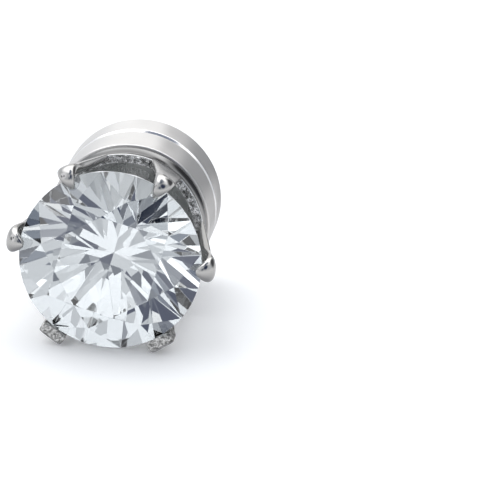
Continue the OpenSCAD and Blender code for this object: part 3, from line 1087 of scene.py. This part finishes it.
# %% Riding on the frame
pieces = [
    (stone, "front_half", "stone", "stone"),
    (head, "front_half", "claw_setting", "polished_steel"),
    (front_cup, "front_half", "front_cup", "satin_steel"),
    (front_magnet, "front_half", "front_magnet", "magnet_plating"),
    (back_cup, "back_half", "back_cup", "satin_steel"),
    (back_magnet, "back_half", "back_magnet", "magnet_plating"),
]
for piece, body, node, slot in pieces:
    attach(piece, body)
    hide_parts(node)
    print(piece.name, "rides on", body)

# %% [markdown]
# The earring lies on a seamless white sheet, far larger than the view. Its axis is tilted, so a back half
# that comes off along the axis also comes down a little. The sheet lies level as far as the back's rim
# and then falls with the axis, so that the back half slides out on the paper and not through it. Behind
# the joint's reach the sheet is level again.

# %% Where the paper falls
RAMP_SOFT = 2.0
FALLS_OVER = 1.5
pull = next(j for j in frame["joints"] if j["name"] == "back_pull")
PULL_LENGTH = pull["range_m"][1] / MM
SLOPE = -pull["axis"][2] / pull["axis"][1]
back_points = at_rest(upright("back_cup")) / MM
RIM_Y = back_points[back_points[:, 2].argmin(), 1]


def soft_ramp(y, start):
    """0 before start and the distance past it behind, rounded like a hyperbola where it turns."""
    return (y - start + np.hypot(y - start, RAMP_SOFT)) / 2


def sheet_height(y):
    """The paper's height: level, then a fall at the axis's slope over 1.5 pulls, then level again."""
    return SLOPE * (soft_ramp(y, RIM_Y + FALLS_OVER * PULL_LENGTH) - soft_ramp(y, RIM_Y))


print("the back slides", round(PULL_LENGTH, 3), "mm from a rim at y", round(RIM_Y, 3))

# %% [markdown]
# A single plane would do for a level sheet. This one has two edges far out and a fine set of rows between
# them that carries the bend. It is smooth shaded, so the bend can't be seen.

# %% Sheet of paper
FLOOR_HALF = 600.0
BEND_ROWS = 121
near_rows = np.linspace(RIM_Y - PULL_LENGTH, RIM_Y + 3 * PULL_LENGTH, BEND_ROWS)
sheet_y = np.repeat(np.concatenate([[-FLOOR_HALF], near_rows, [FLOOR_HALF]]), 2)
sheet_x = np.tile([-FLOOR_HALF, FLOOR_HALF], len(sheet_y) // 2)
sheet_points = np.stack([sheet_x, sheet_y, sheet_height(sheet_y)], 1)
row = 2 * np.arange(len(sheet_y) // 2 - 1)
sheet_facets = np.stack([row, row + 1, row + 3, row + 2], 1)
floor_mesh = bpy.data.meshes.new("studio_floor")
floor_mesh.from_pydata((sheet_points * MM).tolist(), [], sheet_facets.tolist())
floor_mesh.polygons.foreach_set("use_smooth", np.full(len(sheet_facets), True))
studio_floor = bpy.data.objects.new("studio_floor", floor_mesh)
bpy.context.scene.collection.objects.link(studio_floor)
print("the sheet falls by", round(-sheet_height(FLOOR_HALF), 3), "mm in all")

# %% [markdown]
# The paper is matt and nearly white. For a picture of jewellery it is lit until it burns out, and a small
# glow does that here without more light on the earring. Mirror reflections don't see the paper, because
# the metal would show it as one flat white. They see the tent's grey lower half, which is set up below.
# The paper still lights the earring, takes its shadow and shows through the stone. It is part of the
# stage, not of the earring.

# %% White paper
PAPER_GLOW = 0.12
paper, _, paper_shader = new_material("white_paper")
paper_shader.inputs["Base Color"].default_value = (0.93, 0.94, 0.95, 1.0)
paper_shader.inputs["Roughness"].default_value = 0.9
paper_shader.inputs["Specular IOR Level"].default_value = 0.1
paper_shader.inputs["Emission Color"].default_value = (0.98, 0.99, 1.0, 1.0)
paper_shader.inputs["Emission Strength"].default_value = PAPER_GLOW
studio_floor.data.materials.append(paper)
studio_floor.visible_glossy = False
print(studio_floor.name, "is", paper.name, "with a glow of", PAPER_GLOW)

# %% [markdown]
# A jeweller's light tent is white almost all round, with a few dark gaps, such as the lens and the edges
# of the tent. Those gaps are what draws facets and edges. Area lights and black cards could stand round
# the earring, but then they would have to be kept out of every view. The world shader holds the tent
# instead: a soft white, with each gap or panel laid over it as a soft disc round one direction.

# %% Tent
TENT_WHITE = (0.72, 0.74, 0.77, 1.0)
world = bpy.data.worlds.new("light_tent")
bpy.context.scene.world = world
world.use_nodes = True
sky = world.node_tree
sky.nodes.clear()
outward = sky.nodes.new("ShaderNodeTexCoord").outputs["Generated"]


def panel(colour_below, azimuth, height, half_angle, soft, colour):
    """Lays a soft disc of a colour over the tent, round a direction. Azimuth 0 is the camera's side.

    The disc is where the cosine of the angle to that direction is above the half angle's."""
    a, e = np.radians(azimuth), np.radians(height)
    heading = (float(np.sin(a) * np.cos(e)), float(-np.cos(a) * np.cos(e)), float(np.sin(e)))
    dot = sky.nodes.new("ShaderNodeVectorMath")
    dot.operation = "DOT_PRODUCT"
    dot.inputs[1].default_value = heading
    sky.links.new(outward, dot.inputs[0])
    inner = float(np.cos(np.radians(half_angle - soft / 2)))
    outer = float(np.cos(np.radians(half_angle + soft / 2)))
    mask = spread(sky, dot.outputs["Value"], outer, inner, 0.0, 1.0)
    mix = sky.nodes.new("ShaderNodeMix")
    mix.data_type = "RGBA"
    mix.inputs[MIX_SECOND].default_value = (*colour, 1.0)
    sky.links.new(mask, mix.inputs[MIX_SHARE])
    sky.links.new(colour_below, mix.inputs[MIX_FIRST])
    return mix.outputs[MIX_RESULT]


tent = sky.nodes.new("ShaderNodeRGB")
tent.outputs[0].default_value = TENT_WHITE
print("tent", world.name, "is lit to", TENT_WHITE[:3])

# %% [markdown]
# The panels are placed by what they do. The lower half of the tent is pale at the horizon and grey
# straight down, which is what the undersides of the metal show. One large lamp overhead makes the bright
# tops. Softer patches behind and at the sides brighten single bands of the cups. Small dark gaps behind
# the earring draw the stone's dark wedges, and a few dim blue ones on the camera's side stand for
# the lens and its surroundings, which the table and the facets round it reflect.

# %% Panels of the tent
# Azimuth, height, half angle and softness in degrees, and the colour.
TENT_PANELS = [
    (0, -90, 89, 4, (0.95, 0.96, 0.98)),
    (0, -90, 50, 50, (0.42, 0.43, 0.46)),
    (180, 74, 46, 16, (2.25, 2.26, 2.28)),
    (-174, 24, 20, 22, (0.95, 0.95, 0.95)),
    (-60, 22, 26, 8, (1.15, 1.16, 1.2)),
    (80, 47, 13, 8, (1.3, 1.3, 1.32)),
    (122, 22, 28, 14, (0.10, 0.10, 0.11)),
    (167, 25, 5, 3, (0.10, 0.10, 0.11)),
    (172, 13, 6, 3, (0.06, 0.06, 0.065)),
    (166, 4, 6, 3, (0.05, 0.05, 0.055)),
    (163, -5, 6, 3, (0.05, 0.05, 0.055)),
    (167, -16, 7, 3, (0.04, 0.04, 0.045)),
    (32, 27, 19, 8, (0.04, 0.055, 0.11)),
    (2, 13, 11, 6, (0.14, 0.16, 0.20)),
    (-72, 8, 9, 5, (0.06, 0.065, 0.08)),
    (-51, 24, 7, 4, (0.08, 0.09, 0.12)),
    (42, 70, 17, 6, (0.24, 0.27, 0.34)),
    (18, 58, 10, 5, (0.10, 0.12, 0.17)),
    (-1, 53, 8, 5, (0.26, 0.29, 0.35)),
]
light = tent.outputs[0]
for azimuth, height, half_angle, soft, colour in TENT_PANELS:
    light = panel(light, azimuth, height, half_angle, soft, colour)
glow = add(sky, "ShaderNodeBackground", Strength=1.0)
sky.links.new(light, glow.inputs["Color"])
sky_out = sky.nodes.new("ShaderNodeOutputWorld")
sky.links.new(glow.outputs[0], sky_out.inputs["Surface"])
print("panels laid over the tent:", len(TENT_PANELS))

# %% [markdown]
# The camera stands where the photograph's did. Its angles and its framing come from the stone's outline,
# the cups' rims and the seam in the photograph: 23 pixels to a millimetre at the earring, seen from a
# little above and a little to the right, with the camera rolled by two and a half degrees. The earring's
# place at the left of the picture comes from sliding the whole camera, not from a lens shift.

# %% Camera
PHOTO_PX = 480
PX_PER_MM = 23.118
SENSOR_MM = 36.0
DISTANCE = 200.0
AZIMUTH, ELEVATION, ROLL = np.radians([6.42, 20.69, 2.57])
AIM = np.array([0.0, -4.357, 3.6])
SLIDE_RIGHT, SLIDE_UP = 5.616, 1.286
level = np.cos(ELEVATION)
forward = np.array([-np.sin(AZIMUTH) * level, np.cos(AZIMUTH) * level, -np.sin(ELEVATION)])
side = np.cross(forward, [0, 0, 1.0])
side /= np.linalg.norm(side)
above = np.cross(side, forward)
right = np.cos(ROLL) * side + np.sin(ROLL) * above
up = -np.sin(ROLL) * side + np.cos(ROLL) * above
camera_data = bpy.data.cameras.new("camera")
camera_data.sensor_width = SENSOR_MM
camera_data.lens = PX_PER_MM * DISTANCE * SENSOR_MM / PHOTO_PX
camera_data.clip_start, camera_data.clip_end = 0.01, 10.0
camera = bpy.data.objects.new("camera", camera_data)
facing = Matrix((right, up, -forward)).transposed()
place = (AIM - forward * DISTANCE + SLIDE_RIGHT * right + SLIDE_UP * up) * MM
camera.matrix_world = Matrix.Translation(place) @ facing.to_4x4()
bpy.context.scene.collection.objects.link(camera)
bpy.context.scene.camera = camera
bpy.context.scene.view_settings.view_transform = "Standard"
print("camera at", np.round(place / MM, 1), "mm with a lens of", round(camera_data.lens, 1))
